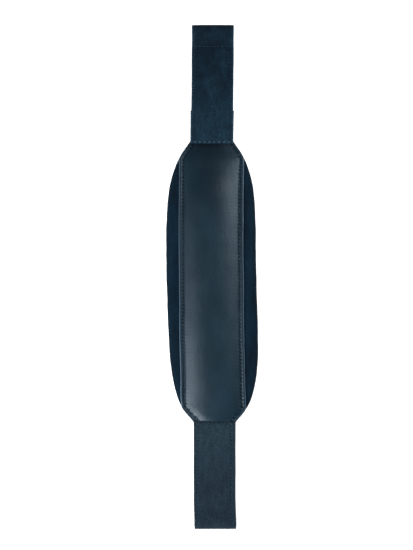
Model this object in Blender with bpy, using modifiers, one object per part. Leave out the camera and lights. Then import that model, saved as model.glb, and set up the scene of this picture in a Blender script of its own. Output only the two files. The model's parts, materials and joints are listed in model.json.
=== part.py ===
"""A padded saxophone neck strap, lying on its back on a table with its leather side up.

Units are metres and +Z is up. +Y runs along the strap to the upper tab, +X across it. The origin
is the middle of the pad's underside. Each tab turns about a hinge line where it's sewn to the pad.
"""

import math

import bmesh
import bpy
from mathutils import Matrix

MM = 0.001

# What each piece keeps from the next one
GAP = 0.3 * MM
SWING_CLEARANCE = 0.4 * MM  # between the pad's end and a tab that is turned all the way up

# The pad: its outline is a superellipse, cut off square at both ends
PAD_LENGTH = 215.8 * MM
PAD_WIDTH = 72.0 * MM
OUTLINE_OVERRUN = 8.6 * MM  # how far past the cut end the outline would close
OUTLINE_POWER = 4.7
PROBE = 0.01 * MM  # the step that a slope is read over
LINING = 1.5 * MM
FOAM = 4.9 * MM
FACE = 0.8 * MM
COVER_EDGE_ROUND = 1.4 * MM

# The load tape, in a channel in the foam's top
TAPE = 1.2 * MM
TAPE_MARGIN = 4.3 * MM  # from a tab's edge to the tape's, which clears the side seams

# The leather panel and the crown that its stuffing raises
LEATHER = 1.3 * MM
MARGIN = 10.2 * MM  # how much of the cover shows beside the panel
PANEL_SETBACK = 0.5 * MM  # of the panel's ends from the pad's
SHOULDER = 12.0 * MM  # how far from the pad's end the panel starts to narrow
END_MARGIN = 2.0 * MM  # how much wider than a tab the panel's end is, on each side
FLANGE = 5.3 * MM  # the flat edge beside the crown, which takes the seam
CROWN_HEIGHT = 4.0 * MM
CROWN_POWER = 3
CROWN_RUN_OUT = 11.0 * MM  # the stretch at each end where the crown comes down
CROWN_ROWS = 26  # the leather and the stuffing share their rows, so that they nest
CROWN_END_SHARE = 0.35
STUFFING_EDGE = 0.5 * MM  # how thick the stuffing is where it's cut off

# The tabs: each is one leather strip folded back on itself, with an open eye at the fold
TAB_WIDTH = 33.6 * MM
UPPER_TAB_LENGTH = 95.1 * MM
LOWER_TAB_LENGTH = 85.5 * MM
TAB_DROP_LENGTH = 24.0 * MM  # where the tab comes down from the pad's level to the table
EYE_LENGTH = 17.2 * MM
EYE_HEIGHT = 5.5 * MM
EYE_RISE = 8.0 * MM
FOLD_RADIUS = 1.8 * MM  # of the middle of the leather
TAPE_PAST_LOOP_SEAM = 2.0 * MM
LOWER_TAPE_LENGTH = 54.0 * MM  # how far the tape reaches into the lower tab

# The seams, each a needle thread above and a bobbin thread in a groove below
THREAD = 0.5 * MM
PANEL_SEAM_INSET = 3.2 * MM  # the lower tab's side seams carry these on
PANEL_SEAM_END_INSET = 2.2 * MM
HEM_SEAM_INSET = 1.6 * MM
UPPER_SEAM_INSET = 2.0 * MM
SIDE_SEAM_CLEARANCE = 1.4 * MM  # from the middle of a cross seam to the end of a side seam
LOWER_SIDE_SEAM_STOP = 3.5 * MM  # from the lower tab's end
CUTTER_OVERRUN = 1.0 * MM

TAPE_WIDTH = TAB_WIDTH - 2 * TAPE_MARGIN

# Where the layers lie, from the table up
FOAM_BOTTOM = LINING + GAP
FOAM_TOP = FOAM_BOTTOM + FOAM
TAPE_BOTTOM = FOAM_TOP - TAPE
CHANNEL_FLOOR = TAPE_BOTTOM - GAP
FACE_TOP = FOAM_TOP + GAP + FACE
PANEL_BOTTOM = FACE_TOP + GAP

# The hinge lines run through the middle of the tape
PLY_SPACING = LEATHER + TAPE + 2 * GAP
HINGE_Z = TAPE_BOTTOM + TAPE / 2
HINGE_GAP = (PLY_SPACING + LEATHER) / 2 + GAP + THREAD + SWING_CLEARANCE
PAD_END = PAD_LENGTH / 2
HINGE_Y = PAD_END + HINGE_GAP
LOW_PLY_Z = LEATHER / 2
TAB_DROP = HINGE_Z - PLY_SPACING / 2 - LOW_PLY_Z

BLUE_BLACK = (0.010, 0.022, 0.032)
NAVY = (0.018, 0.036, 0.054)
SLATE_BLUE = (0.021, 0.043, 0.063)
CHARCOAL = (0.03, 0.03, 0.035)
PALE_BLUE = (0.06, 0.09, 0.12)


def smooth(t):
    """0 to 1 with level ends."""
    t = min(1.0, max(0.0, t))
    return t * t * (3 - 2 * t)


# ---------------------------------------------------------------- objects and materials


def clear_scene():
    for old in list(bpy.data.objects):
        bpy.data.objects.remove(old)


def collection(name):
    found = bpy.data.collections.new(name)
    bpy.context.scene.collection.children.link(found)
    return found


def material(name, colour, roughness):
    made = bpy.data.materials.get(name) or bpy.data.materials.new(name)
    made.use_nodes = True
    shader = made.node_tree.nodes["Principled BSDF"]
    shader.inputs["Base Color"].default_value = (*colour, 1)
    shader.inputs["Roughness"].default_value = roughness
    shader.inputs["Metallic"].default_value = 0
    return made


def place(name, data, group, look=None, parent=None):
    """A new object for the data, already in world coordinates, in the group."""
    made = bpy.data.objects.new(name, data)
    group.objects.link(made)
    if look:
        data.materials.append(look)
    if parent:
        made.parent = parent
        made.matrix_parent_inverse = Matrix.Translation(-parent.location)
    return made


def new_mesh(name, bm):
    bmesh.ops.recalc_face_normals(bm, faces=bm.faces)
    mesh = bpy.data.meshes.new(name)
    bm.to_mesh(mesh)
    bm.free()
    return mesh


def solidify(made, thickness, offset):
    shell = made.modifiers.new("Thickness", "SOLIDIFY")
    shell.thickness = thickness
    shell.offset = offset
    shell.use_even_offset = True
    return shell


def soften(made):
    made.data.shade_smooth()
    made.data.set_sharp_from_angle(angle=math.radians(40))


def cut(made, cutter):
    groove = made.modifiers.new("Cut " + cutter.name, "BOOLEAN")
    groove.operation = "DIFFERENCE"
    groove.object = cutter


# ---------------------------------------------------------------- outlines and heights


def pad_half_width(y):
    reach = PAD_END + OUTLINE_OVERRUN
    return PAD_WIDTH / 2 * math.sqrt(1 - (abs(y) / reach) ** OUTLINE_POWER)


def panel_half_width(y):
    wide = PAD_WIDTH / 2 - MARGIN
    narrow = TAB_WIDTH / 2 + END_MARGIN
    past_shoulder = max(0.0, abs(y) - (PAD_END - SHOULDER)) / SHOULDER
    return wide + (narrow - wide) * past_shoulder


def crown_rise(y):
    """How high the leather stands off the pad along the middle of the strap."""
    down = smooth((abs(y) - (PAD_END - CROWN_RUN_OUT)) / CROWN_RUN_OUT)
    return CROWN_HEIGHT * (1 + (CROWN_END_SHARE - 1) * down)


def pad_outline(inset=0.0, steps=12):
    """One side's edge of the pad, from its lower to its upper end, as (x, y) points.

    The inset is square to the edge, so where the edge slants it takes more off the width.
    """
    points = []
    for i in range(-steps, steps + 1):
        y = PAD_END * math.sin(math.pi / 2 * i / steps)
        slope = (pad_half_width(y + PROBE) - pad_half_width(y - PROBE)) / (2 * PROBE)
        points.append((pad_half_width(y) - inset * math.hypot(1, slope), y))
    return points


def pad_layer(name, bottom, top, inset, group, look):
    """A flat layer with the pad's outline."""
    right = pad_outline(inset)
    left = [(-x, y) for x, y in reversed(right)]
    bm = bmesh.new()
    corners = [bm.verts.new((x, y, bottom)) for x, y in right + left]
    floor = bm.faces.new(corners)
    raised = bmesh.ops.extrude_face_region(bm, geom=[floor])["geom"]
    lifted = [v for v in raised if isinstance(v, bmesh.types.BMVert)]
    bmesh.ops.translate(bm, verts=lifted, vec=(0, 0, top - bottom))
    return place(name, new_mesh(name, bm), group, look)


# ---------------------------------------------------------------- the pad


def pad_lining(group):
    look = material("charcoal velour lining", CHARCOAL, 0.95)
    return pad_layer("pad_lining", 0, LINING, 0, group, look)


def pad_foam(group, cutters):
    """The foam, with a channel along its top for the load tape."""
    look = material("foam", CHARCOAL, 0.9)
    foam = pad_layer("pad_foam", FOAM_BOTTOM, FOAM_TOP, FACE + GAP, group, look)
    rim = foam.modifiers.new("Soft edge", "BEVEL")
    rim.width = COVER_EDGE_ROUND
    rim.segments = 2
    rim.limit_method = "ANGLE"
    rim.angle_limit = math.radians(60)
    bm = bmesh.new()
    bmesh.ops.create_cube(bm, size=1)
    width, length = TAPE_WIDTH + 2 * GAP, PAD_LENGTH + 2 * CUTTER_OVERRUN
    tall = TAPE + GAP + CUTTER_OVERRUN
    bmesh.ops.scale(bm, verts=bm.verts, vec=(width, length, tall))
    bmesh.ops.translate(bm, verts=bm.verts, vec=(0, 0, CHANNEL_FLOOR + tall / 2))
    channel = place("tape channel", new_mesh("tape channel", bm), cutters)
    cut(foam, channel)
    return foam


def pad_face(group):
    """The cover over the foam: its top and its two sides, open at the ends where the tape leaves."""
    look = material("blue-black velour", BLUE_BLACK, 0.95)
    right = pad_outline()
    left = [(-x, y) for x, y in reversed(right)]
    bm = bmesh.new()
    rim = [bm.verts.new((x, y, FACE_TOP)) for x, y in right + left]
    bm.faces.new(rim)
    ends = {rim[0], rim[-1]}, {rim[len(right) - 1], rim[len(right)]}
    sides = [e for e in bm.edges if set(e.verts) not in ends]
    skirt = bmesh.ops.extrude_edge_only(bm, edges=sides)["geom"]
    hem = [v for v in skirt if isinstance(v, bmesh.types.BMVert)]
    bmesh.ops.translate(bm, verts=hem, vec=(0, 0, FOAM_BOTTOM - FACE_TOP))
    face = place("pad_face", new_mesh("pad_face", bm), group, look)
    edge = face.modifiers.new("Soft edge", "BEVEL")
    edge.width = COVER_EDGE_ROUND
    edge.segments = 3
    edge.limit_method = "ANGLE"
    edge.angle_limit = math.radians(60)
    solidify(face, FACE, -1)
    soften(face)
    return face


def crown_grid(columns, rows, point):
    """A grid of faces whose corners are point(across, along), both from -1 to 1."""
    bm = bmesh.new()
    bmesh.ops.create_grid(bm, x_segments=columns, y_segments=rows, size=1)
    for v in bm.verts:
        v.co = point(v.co.x, v.co.y)
    return bm


CROWN_SHARE = 0.8  # how much of the panel's grid the crown takes up; the flanges take the rest


def panel_point(across, along):
    """A point on the panel's underside, where the flanges are the grid's outermost columns."""
    y = (PAD_END - PANEL_SETBACK) * along
    edge = panel_half_width(y)
    crown = edge - FLANGE
    share = abs(across) / CROWN_SHARE
    if share > 1:
        out = (abs(across) - CROWN_SHARE) / (1 - CROWN_SHARE)
        return math.copysign(crown + FLANGE * out, across), y, PANEL_BOTTOM
    z = PANEL_BOTTOM + crown_rise(y) * (1 - share**CROWN_POWER)
    return math.copysign(crown * share, across), y, z


def leather_panel(group):
    look = material("smooth navy leather", SLATE_BLUE, 0.42)
    underside = new_mesh("leather_panel", crown_grid(10, CROWN_ROWS, panel_point))
    panel = place("leather_panel", underside, group, look)
    solidify(panel, LEATHER, 1)
    soften(panel)
    return panel


def stuffing_point(across, along):
    """A point on the stuffing's top, one gap under the leather. It's cut off where it gets thin."""
    y = (PAD_END - PANEL_SETBACK) * along
    rise = crown_rise(y)
    thin = (1 - (STUFFING_EDGE + GAP) / rise) ** (1 / CROWN_POWER)
    share = min(abs(across), thin)
    crown = panel_half_width(y) - FLANGE
    return math.copysign(crown * share, across), y, PANEL_BOTTOM + rise * (1 - share**CROWN_POWER) - GAP


def crown_foam(group):
    look = material("crown stuffing", CHARCOAL, 0.9)
    bm = crown_grid(8, CROWN_ROWS, stuffing_point)
    lowered = bmesh.ops.extrude_face_region(bm, geom=bm.faces[:])["geom"]
    for v in lowered:
        if isinstance(v, bmesh.types.BMVert):
            v.co.z = PANEL_BOTTOM
    return place("crown_foam", new_mesh("crown_foam", bm), group, look)


# ---------------------------------------------------------------- the tabs


def drop(s):
    """How far a tab has come down at a distance s from its hinge line."""
    return TAB_DROP * smooth(s / TAB_DROP_LENGTH)


def drop_stations(steps=8):
    return [TAB_DROP_LENGTH * i / steps for i in range(steps + 1)]


def arc(centre, start, steps=4):
    """A quarter turn of the fold about the centre, clockwise from the start angle."""
    turns = [start - math.pi / 2 * i / steps for i in range(steps + 1)]
    return [(centre[0] + FOLD_RADIUS * math.cos(t), centre[1] + FOLD_RADIUS * math.sin(t)) for t in turns]


def top_ply(length):
    """The middle of a tab's upper ply in section, as (distance from the hinge line, height)."""
    root = HINGE_Z + PLY_SPACING / 2
    eye_top = LEATHER + EYE_HEIGHT + LEATHER / 2
    flat = root - TAB_DROP
    points = [(s, root - drop(s)) for s in drop_stations()]
    rise = [i / 5 for i in range(6)]
    points += [(length - EYE_LENGTH + EYE_RISE * t, flat + (eye_top - flat) * smooth(t)) for t in rise]
    return points + arc((length - LEATHER / 2 - FOLD_RADIUS, eye_top - FOLD_RADIUS), math.pi / 2)


def low_ply(length):
    """The middle of the lower ply, from the fold back to the hinge line."""
    root = HINGE_Z - PLY_SPACING / 2
    fold = arc((length - LEATHER / 2 - FOLD_RADIUS, LOW_PLY_Z + FOLD_RADIUS), 0)
    return fold + [(s, root - drop(s)) for s in reversed(drop_stations())]


def ribbon(name, section, side, width, thickness, group, look):
    """A strip as wide as the width whose section is the points, at the upper (1) or lower (-1) end.

    The curve is drawn in its own X and Y, and turned so that they are the world's Y and Z.
    """
    curve = bpy.data.curves.new(name, "CURVE")
    curve.dimensions = "2D"
    curve.fill_mode = "NONE"
    curve.extrude = width / 2
    spline = curve.splines.new("POLY")
    spline.points.add(len(section) - 1)
    for point, (s, z) in zip(spline.points, section):
        point.co = (side * s, z, 0, 1)
    drawn = place(name, curve, group)
    drawn.rotation_euler = (math.pi / 2, 0, math.pi / 2)
    bpy.context.view_layer.update()
    mesh = bpy.data.meshes.new_from_object(drawn.evaluated_get(bpy.context.evaluated_depsgraph_get()))
    mesh.transform(drawn.matrix_world)
    bpy.data.objects.remove(drawn)
    strip = place(name, mesh, group, look)
    solidify(strip, thickness, 0)
    return strip


def tab_leather(name, length, side, hinge, group, look):
    section = [(HINGE_Y + s, z) for s, z in top_ply(length) + low_ply(length)]
    strip = ribbon(name, section, side, TAB_WIDTH, LEATHER, group, look)
    strip.parent = hinge
    strip.matrix_parent_inverse = Matrix.Translation(-hinge.location)
    soften(strip)
    return strip


def load_tape(group):
    """The tape that carries the load: through the pad, past both hinge lines and between the plies."""
    look = material("black nylon tape", CHARCOAL, 0.7)
    upper_end = HINGE_Y + UPPER_TAB_LENGTH - EYE_LENGTH + TAPE_PAST_LOOP_SEAM
    lower_end = HINGE_Y + LOWER_TAPE_LENGTH
    stations = [HINGE_Y + s for s in drop_stations()]
    section = [(-lower_end, HINGE_Z - TAB_DROP)]
    section += [(-y, HINGE_Z - drop(y - HINGE_Y)) for y in reversed(stations)]
    section += [(y, HINGE_Z - drop(y - HINGE_Y)) for y in stations]
    section += [(upper_end, HINGE_Z - TAB_DROP)]
    return ribbon("load_tape", section, 1, TAPE_WIDTH, TAPE, group, look)


def hinge_empty(name, side):
    """Marks the line that a tab turns about."""
    empty = bpy.data.objects.new(name, None)
    empty.location = (0, side * HINGE_Y, HINGE_Z)
    empty.empty_display_size = TAB_WIDTH / 2
    return empty


# ---------------------------------------------------------------- the seams


def tube(name, points, radius, group, look=None, parent=None):
    """A round bar along the points, as a mesh."""
    curve = bpy.data.curves.new(name, "CURVE")
    curve.dimensions = "3D"
    curve.bevel_depth = radius
    curve.bevel_resolution = 1
    curve.use_fill_caps = True
    spline = curve.splines.new("POLY")
    spline.points.add(len(points) - 1)
    for point, co in zip(spline.points, points):
        point.co = (*co, 1)
    drawn = place(name, curve, group)
    bpy.context.view_layer.update()
    mesh = bpy.data.meshes.new_from_object(drawn.evaluated_get(bpy.context.evaluated_depsgraph_get()))
    bpy.data.objects.remove(drawn)
    bm = bmesh.new()
    bm.from_mesh(mesh)
    bmesh.ops.remove_doubles(bm, verts=bm.verts, dist=0.00001)
    made = place(name, new_mesh(name, bm), group, look, parent)
    soften(made)
    return made


def lengthened(points, by):
    """The path carried on past both its ends."""
    ends = []
    for end, inner in ((points[0], points[1]), (points[-1], points[-2])):
        run = math.dist(end, inner)
        ends.append(tuple(e + (e - i) / run * by for e, i in zip(end, inner)))
    return [ends[0], *points[1:-1], ends[1]]


def seam(name, needle, bobbin, sewn, groups, look, parent=None):
    """A lockstitch seam: a needle thread that lies on the work, and a bobbin thread let into sewn."""
    parts, cutters = groups
    tube(name + "_needle_thread", needle, THREAD / 2, parts, look, parent)
    tube(name + "_bobbin_thread", bobbin, THREAD / 2, parts, look, parent)
    groove = tube(name + " groove", lengthened(bobbin, GAP), THREAD / 2 + GAP, cutters)
    cut(sewn, groove)


def panel_seams(lining, groups):
    """The seams down both edges of the panel, right through the pad to its underside."""
    look = material("navy thread", NAVY, 0.6)
    over = PANEL_BOTTOM + LEATHER + GAP + THREAD / 2
    stop, corner = PAD_END - PANEL_SEAM_END_INSET, PAD_END - SHOULDER
    for side, word in ((-1, "left"), (1, "right")):
        ys = (-stop, -corner, corner, stop)
        path = [(side * (panel_half_width(y) - PANEL_SEAM_INSET), y) for y in ys]
        needle, bobbin = ([(x, y, z) for x, y in path] for z in (over, THREAD / 2))
        seam(f"panel_seam_{word}", needle, bobbin, lining, groups, look)


def beside(section, offset):
    """The section's points moved sideways, to the left of its run, by the offset."""
    moved = []
    for i, (s, z) in enumerate(section):
        (s0, z0), (s1, z1) = section[max(0, i - 1)], section[min(len(section) - 1, i + 1)]
        run = math.hypot(s1 - s0, z1 - z0)
        moved.append((s - (z1 - z0) / run * offset, z + (s1 - s0) / run * offset))
    return moved


def stretch(section, start, stop):
    """The part of an outgoing section between two distances, with its ends exactly there."""

    def height(s):
        for (s0, z0), (s1, z1) in zip(section, section[1:]):
            if s0 <= s <= s1:
                return z0 + (z1 - z0) * (s - s0) / (s1 - s0)
        raise ValueError("the section doesn't reach that far")

    inner = [(s, z) for s, z in section if start < s < stop]
    return [(start, height(start)), *inner, (stop, height(stop))]


def thread_lines(length):
    """Where threads run beside the plies: above the top ply, under it, and in under the low ply."""
    over = beside(top_ply(length), LEATHER / 2 + GAP + THREAD / 2)
    under_top = beside(top_ply(length), THREAD / 2 - LEATHER / 2)
    under_low = beside(low_ply(length)[::-1], THREAD / 2 - LEATHER / 2)
    return over, under_top, under_low


def along(line, x, side, start, stop):
    return [(x, side * (HINGE_Y + s), z) for s, z in stretch(line, start, stop)]


def cross_seam(name, at, lines, inset, side, sewn, groups, look, hinge):
    """A seam straight across a tab, through both of its plies."""
    reach = TAB_WIDTH / 2 - inset
    over, _, under = lines
    needle, bobbin = (
        [(x, side * (HINGE_Y + at), stretch(line, at, at + GAP)[0][1]) for x in (-reach, reach)]
        for line in (over, under)
    )
    seam(name, needle, bobbin, sewn, groups, look, hinge)


def side_seams(name, stop, lines, inset, side, sewn, groups, look, hinge):
    """The seams along both edges of a tab, from its hem to the stop. lines are (above, below)."""
    start = HEM_SEAM_INSET + SIDE_SEAM_CLEARANCE
    for hand, word in ((-1, "left"), (1, "right")):
        x = hand * (TAB_WIDTH / 2 - inset)
        needle, bobbin = (along(line, x, side, start, stop) for line in lines)
        seam(f"{name}_{word}", needle, bobbin, sewn, groups, look, hinge)


def upper_tab(hinge, groups):
    """Sewn all round, so that only the eye is open."""
    leather = material("blue-black suede leather", BLUE_BLACK, 0.85)
    pale, dark = material("pale blue thread", PALE_BLUE, 0.6), material("navy thread", NAVY, 0.6)
    strip = tab_leather("upper_tab_leather", UPPER_TAB_LENGTH, 1, hinge, groups[0], leather)
    lines = thread_lines(UPPER_TAB_LENGTH)
    loop_seam = UPPER_TAB_LENGTH - EYE_LENGTH
    inset = UPPER_SEAM_INSET
    cross_seam("upper_hem_seam", HEM_SEAM_INSET, lines, inset, 1, strip, groups, pale, hinge)
    cross_seam("upper_loop_seam", loop_seam, lines, inset, 1, strip, groups, dark, hinge)
    stop = loop_seam - SIDE_SEAM_CLEARANCE
    side_seams("upper_side_seam", stop, (lines[0], lines[2]), inset, 1, strip, groups, dark, hinge)


def lower_tab(hinge, groups):
    """Its side seams edge the top ply alone, as far as the fold, so it's a loop for its whole length."""
    leather = material("navy nubuck leather", NAVY, 0.75)
    dark = material("navy thread", NAVY, 0.6)
    strip = tab_leather("lower_tab_leather", LOWER_TAB_LENGTH, -1, hinge, groups[0], leather)
    lines = thread_lines(LOWER_TAB_LENGTH)
    inset = PANEL_SEAM_INSET
    cross_seam("lower_hem_seam", HEM_SEAM_INSET, lines, inset, -1, strip, groups, dark, hinge)
    stop = LOWER_TAB_LENGTH - LOWER_SIDE_SEAM_STOP
    side_seams("lower_side_seam", stop, lines[:2], inset, -1, strip, groups, dark, hinge)


def main():
    clear_scene()
    parts, cutters = collection("saxophone neck strap"), collection("cutters")
    groups = parts, cutters
    lining = pad_lining(parts)
    pad_foam(parts, cutters)
    pad_face(parts)
    load_tape(parts)
    crown_foam(parts)
    leather_panel(parts)
    panel_seams(lining, groups)
    for build, name, side in ((upper_tab, "upper_hinge", 1), (lower_tab, "lower_hinge", -1)):
        hinge = hinge_empty(name, side)
        parts.objects.link(hinge)
        build(hinge, groups)
    for cutter in cutters.objects:
        cutter.hide_render = True
        cutter.display_type = "WIRE"


main()
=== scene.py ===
import json
import math

import bmesh
import bpy
import numpy as np
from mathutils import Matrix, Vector


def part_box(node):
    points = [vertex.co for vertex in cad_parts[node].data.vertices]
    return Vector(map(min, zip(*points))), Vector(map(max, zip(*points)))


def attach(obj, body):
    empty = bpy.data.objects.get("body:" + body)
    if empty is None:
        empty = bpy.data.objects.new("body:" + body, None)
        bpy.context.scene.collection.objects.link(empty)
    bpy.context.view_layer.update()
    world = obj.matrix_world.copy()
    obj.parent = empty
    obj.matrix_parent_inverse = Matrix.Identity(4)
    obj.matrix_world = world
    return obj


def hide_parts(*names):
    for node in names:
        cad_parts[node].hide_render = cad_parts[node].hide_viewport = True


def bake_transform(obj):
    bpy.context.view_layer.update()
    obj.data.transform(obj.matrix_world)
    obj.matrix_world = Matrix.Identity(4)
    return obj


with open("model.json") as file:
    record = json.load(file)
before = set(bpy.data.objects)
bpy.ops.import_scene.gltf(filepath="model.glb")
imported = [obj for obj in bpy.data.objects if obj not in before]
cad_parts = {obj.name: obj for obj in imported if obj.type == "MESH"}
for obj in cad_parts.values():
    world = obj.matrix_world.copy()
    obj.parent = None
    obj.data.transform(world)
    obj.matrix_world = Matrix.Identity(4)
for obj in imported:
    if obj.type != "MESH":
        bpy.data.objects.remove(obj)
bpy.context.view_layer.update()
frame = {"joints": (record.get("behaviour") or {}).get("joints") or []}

# A padded saxophone neck strap: a velour-backed pad, a stuffed leather panel and a folded leather
# tab at each end. Lengths are in metres and +Z is up from the table.
MM = 0.001

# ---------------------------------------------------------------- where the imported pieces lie

HINGE = {joint["child"]: Vector(joint["pos_m"]) for joint in frame["joints"]}
HINGE_Y, HINGE_Z = HINGE["upper_tab"].y, HINGE["upper_tab"].z
PAD_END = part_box("pad_face")[1].y
PAD_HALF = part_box("pad_face")[1].x
COVER_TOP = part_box("pad_face")[1].z
COVER_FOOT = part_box("pad_face")[0].z
LINING_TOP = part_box("pad_lining")[1].z
PANEL_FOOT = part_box("leather_panel")[0].z
PANEL_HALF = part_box("leather_panel")[1].x
CROWN_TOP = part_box("leather_panel")[1].z
TAPE_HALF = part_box("load_tape")[1].x
TAPE_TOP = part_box("load_tape")[1].z
TAPE_ENDS = {1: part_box("load_tape")[1].y, -1: -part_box("load_tape")[0].y}
TAB_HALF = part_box("upper_tab_leather")[1].x
TAB_ENDS = {1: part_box("upper_tab_leather")[1].y, -1: -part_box("lower_tab_leather")[0].y}


def thread_y(node):
    """Where along the strap the middle of a crosswise thread lies."""
    low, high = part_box(node)
    return (low.y + high.y) / 2


LOOP_SEAM = thread_y("upper_loop_seam_needle_thread") - HINGE_Y
HEM_SEAM = {
    1: thread_y("upper_hem_seam_needle_thread") - HINGE_Y - 0.4 * MM,
    -1: -thread_y("lower_hem_seam_needle_thread") - HINGE_Y - 1.3 * MM,  # at the very foot of the crown
}
SIDE_STOP = {1: LOOP_SEAM, -1: TAB_ENDS[-1] - 3.5 * MM - HINGE_Y}

# ---------------------------------------------------------------- sizes that the sewing gives

LEATHER = 1.3 * MM
TAPE = 1.2 * MM
VELOUR = 0.8 * MM
CLEAR = 0.15 * MM  # between the padding and what covers it
SKIVED = 0.6 * MM  # the leather where it's pared thin, to be sewn under another piece
PINCHED_END = 110.4 * MM  # how far the pad's covers reach, sewn down on the tab
PINCH_START = 96.0 * MM  # where they start to come together
TONGUE_END = 138.0 * MM  # the panel's upper end runs on under the upper tab
PANEL_LOWER_END = 110.8 * MM
# Where the panel's shoulders start and end, and its half width past them, at each end of the strap
SHOULDERS = {1: (99.6 * MM, 113.2 * MM, 17.3 * MM), -1: (99.2 * MM, 111.4 * MM, 16.7 * MM)}
SEAM_IN = 3.0 * MM  # the panel's seam from its cut edge
CROWN_IN = 3.7 * MM  # where the crown starts to rise, from the same edge
CROWN_POWER = 2.2
PITCH = 2.9 * MM  # from one stitch to the next
HEM_PITCH = 3.4 * MM
THREAD = 0.55 * MM
UPPER_SEAM_IN = 2.2 * MM  # each tab's side seams from its cut edges
LOWER_SEAM_IN = 3.4 * MM
TAB_DROP = 3.9 * MM  # how far a tab comes down towards the table, and over what length
TAB_DROP_LENGTH = 24.0 * MM
FOLD = 3.4 * MM  # the fold's radius, in the middle of the leather
LOW_PLY = LEATHER / 2
PLY_GAP = 0.3 * MM  # between the tape and the leather on each side of it
EYE = 17.2 * MM  # how long the open eye at a tab's end is
EYE_OPENING = 12.5 * MM  # the part of it over which the plies come apart
TAB_TUCK = 3.6 * MM  # how far the lower tab's upper ply runs in under the panel's end
OUTLINE_REACH = PAD_END + 8.6 * MM  # the pad's outline is part of a superellipse
OUTLINE_POWER = 4.7


def smooth(t):
    """0 to 1 with level ends, for numbers and arrays."""
    t = np.clip(t, 0.0, 1.0)
    return t * t * (3 - 2 * t)


def bell(distance, width):
    """1 at no distance, falling away on both sides over about the width."""
    return np.exp(-((distance / width) ** 2))


def lean(y):
    """How far the strap strays sideways at y, because it doesn't lie dead straight."""
    y = np.asarray(y) / MM
    bow = -1.6 + 2.9 * smooth((34 - y) / 129) + 1.5 * smooth((y - 34) / 172)
    return (bow + 0.6 * smooth((-169 - y) / 28)) * MM


def waver(y, length, seed):
    """A slow, even wandering between about -1 and 1, as of an edge cut by hand."""
    t = 2 * math.pi * np.asarray(y) / length
    return 0.5 * np.sin(t + seed) + 0.3 * np.sin(1.7 * t + 2.1 * seed) + 0.2 * np.sin(3.1 * t + 0.7 * seed)


# ---------------------------------------------------------------- meshes


def finished(name, data):
    made = bpy.data.objects.new(name, data)
    bpy.context.scene.collection.objects.link(made)
    return made


SHARP = math.radians(50)  # faces that meet at more than this keep a crisp edge between them


def plate(name, top, bottom, look, marks=None):
    """A closed piece between two grids of points, each rows x columns x 3, with the marks on both."""
    rows, columns = top.shape[:2]
    size = rows * columns
    points = np.concatenate([top.reshape(-1, 3), bottom.reshape(-1, 3)])
    points[:, 0] += lean(points[:, 1])
    index = np.arange(size).reshape(rows, columns)
    faces = []
    over = np.stack([index[:-1, :-1], index[:-1, 1:], index[1:, 1:], index[1:, :-1]], -1).reshape(-1, 4)
    faces += over.tolist()
    faces += (over[:, ::-1] + size).tolist()
    for edge in (index[0, :], index[-1, ::-1], index[::-1, 0], index[:, -1]):
        for a, b in zip(edge[:-1].tolist(), edge[1:].tolist()):
            faces.append([a + size, b + size, b, a])
    mesh = bpy.data.meshes.new(name)
    mesh.from_pydata(points.tolist(), [], faces)
    for word, values in (marks or {}).items():
        attribute = mesh.attributes.new(word, "FLOAT", "POINT")
        attribute.data.foreach_set("value", np.tile(values.reshape(-1), 2).astype(np.float32))
    bm = bmesh.new()
    bm.from_mesh(mesh)
    bmesh.ops.recalc_face_normals(bm, faces=bm.faces)
    bm.to_mesh(mesh)
    bm.free()
    mesh.shade_smooth()
    mesh.set_sharp_from_angle(angle=SHARP)
    mesh.materials.append(look)
    return finished(name, mesh)


def grid(rows_y, x, z):
    """Points from a column of y, and arrays of x and z with a row for each y."""
    y = np.broadcast_to(np.asarray(rows_y)[:, None], x.shape)
    return np.stack([x, y, z], -1)


def plain_mesh(piece):
    """The piece with its modifiers made part of its mesh."""
    graph = bpy.context.evaluated_depsgraph_get()
    mesh = bpy.data.meshes.new_from_object(piece.evaluated_get(graph))
    piece.modifiers.clear()
    piece.data = mesh
    mesh.shade_smooth()
    return piece


# ---------------------------------------------------------------- the strap's outlines and heights


def pad_half(y):
    return PAD_HALF * np.sqrt(1 - (np.abs(y) / OUTLINE_REACH) ** OUTLINE_POWER)


def pinch(y):
    """0 over the pad's middle, 1 where its covers are sewn down at the ends."""
    return smooth((np.abs(y) - PINCH_START) / (PINCHED_END - PINCH_START))


def panel_half(y):
    """The panel's half width. Its cut edge wanders by a tenth of a millimetre or two."""
    narrowed = 0
    for side, (start, end, half) in SHOULDERS.items():
        t = np.clip((side * y - start) / (end - start), 0, 1)
        narrowed = narrowed + (PANEL_HALF - half) * (0.85 * t**1.15 + 0.15 * smooth(t))
    return PANEL_HALF - narrowed + 0.12 * MM * waver(y, 47 * MM, 1.3)


def panel_shift(y):
    """The panel is sewn on straight, so it lies to the left of the pad's middle where the pad bows."""
    y = -np.asarray(y) / MM
    return -1.3 * MM * smooth((y + 10) / 60) * (1 - smooth((y - 88) / 22))


def inset_scale(y):
    """How much further across the strap a step square to the panel's edge takes up."""
    step = 0.5 * MM
    slope = (panel_half(y + step) - panel_half(y - step)) / (2 * step)
    return np.sqrt(1 + slope**2)


def cover_top(y):
    return COVER_TOP - 0.9 * MM * pinch(y)


def panel_foot(y):
    """The panel's underside: down onto the tape at the upper end, up onto the tab at the lower."""
    down = (PANEL_FOOT - TAPE_TOP - 0.2 * MM) * smooth((y - 94 * MM) / (17 * MM))
    up = 0.35 * MM * smooth((-y - 102 * MM) / (6 * MM))
    drop = TAB_DROP * smooth((y - HINGE_Y) / TAB_DROP_LENGTH)
    return PANEL_FOOT - down + up - drop


def panel_thickness(y):
    pared = smooth((y - 96 * MM) / (15 * MM))
    end = 0.35 * MM * smooth((y - 130 * MM) / (8 * MM))
    return LEATHER + (SKIVED - LEATHER) * pared - end - 0.3 * MM * smooth((-y - 104 * MM) / (7 * MM))


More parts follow.
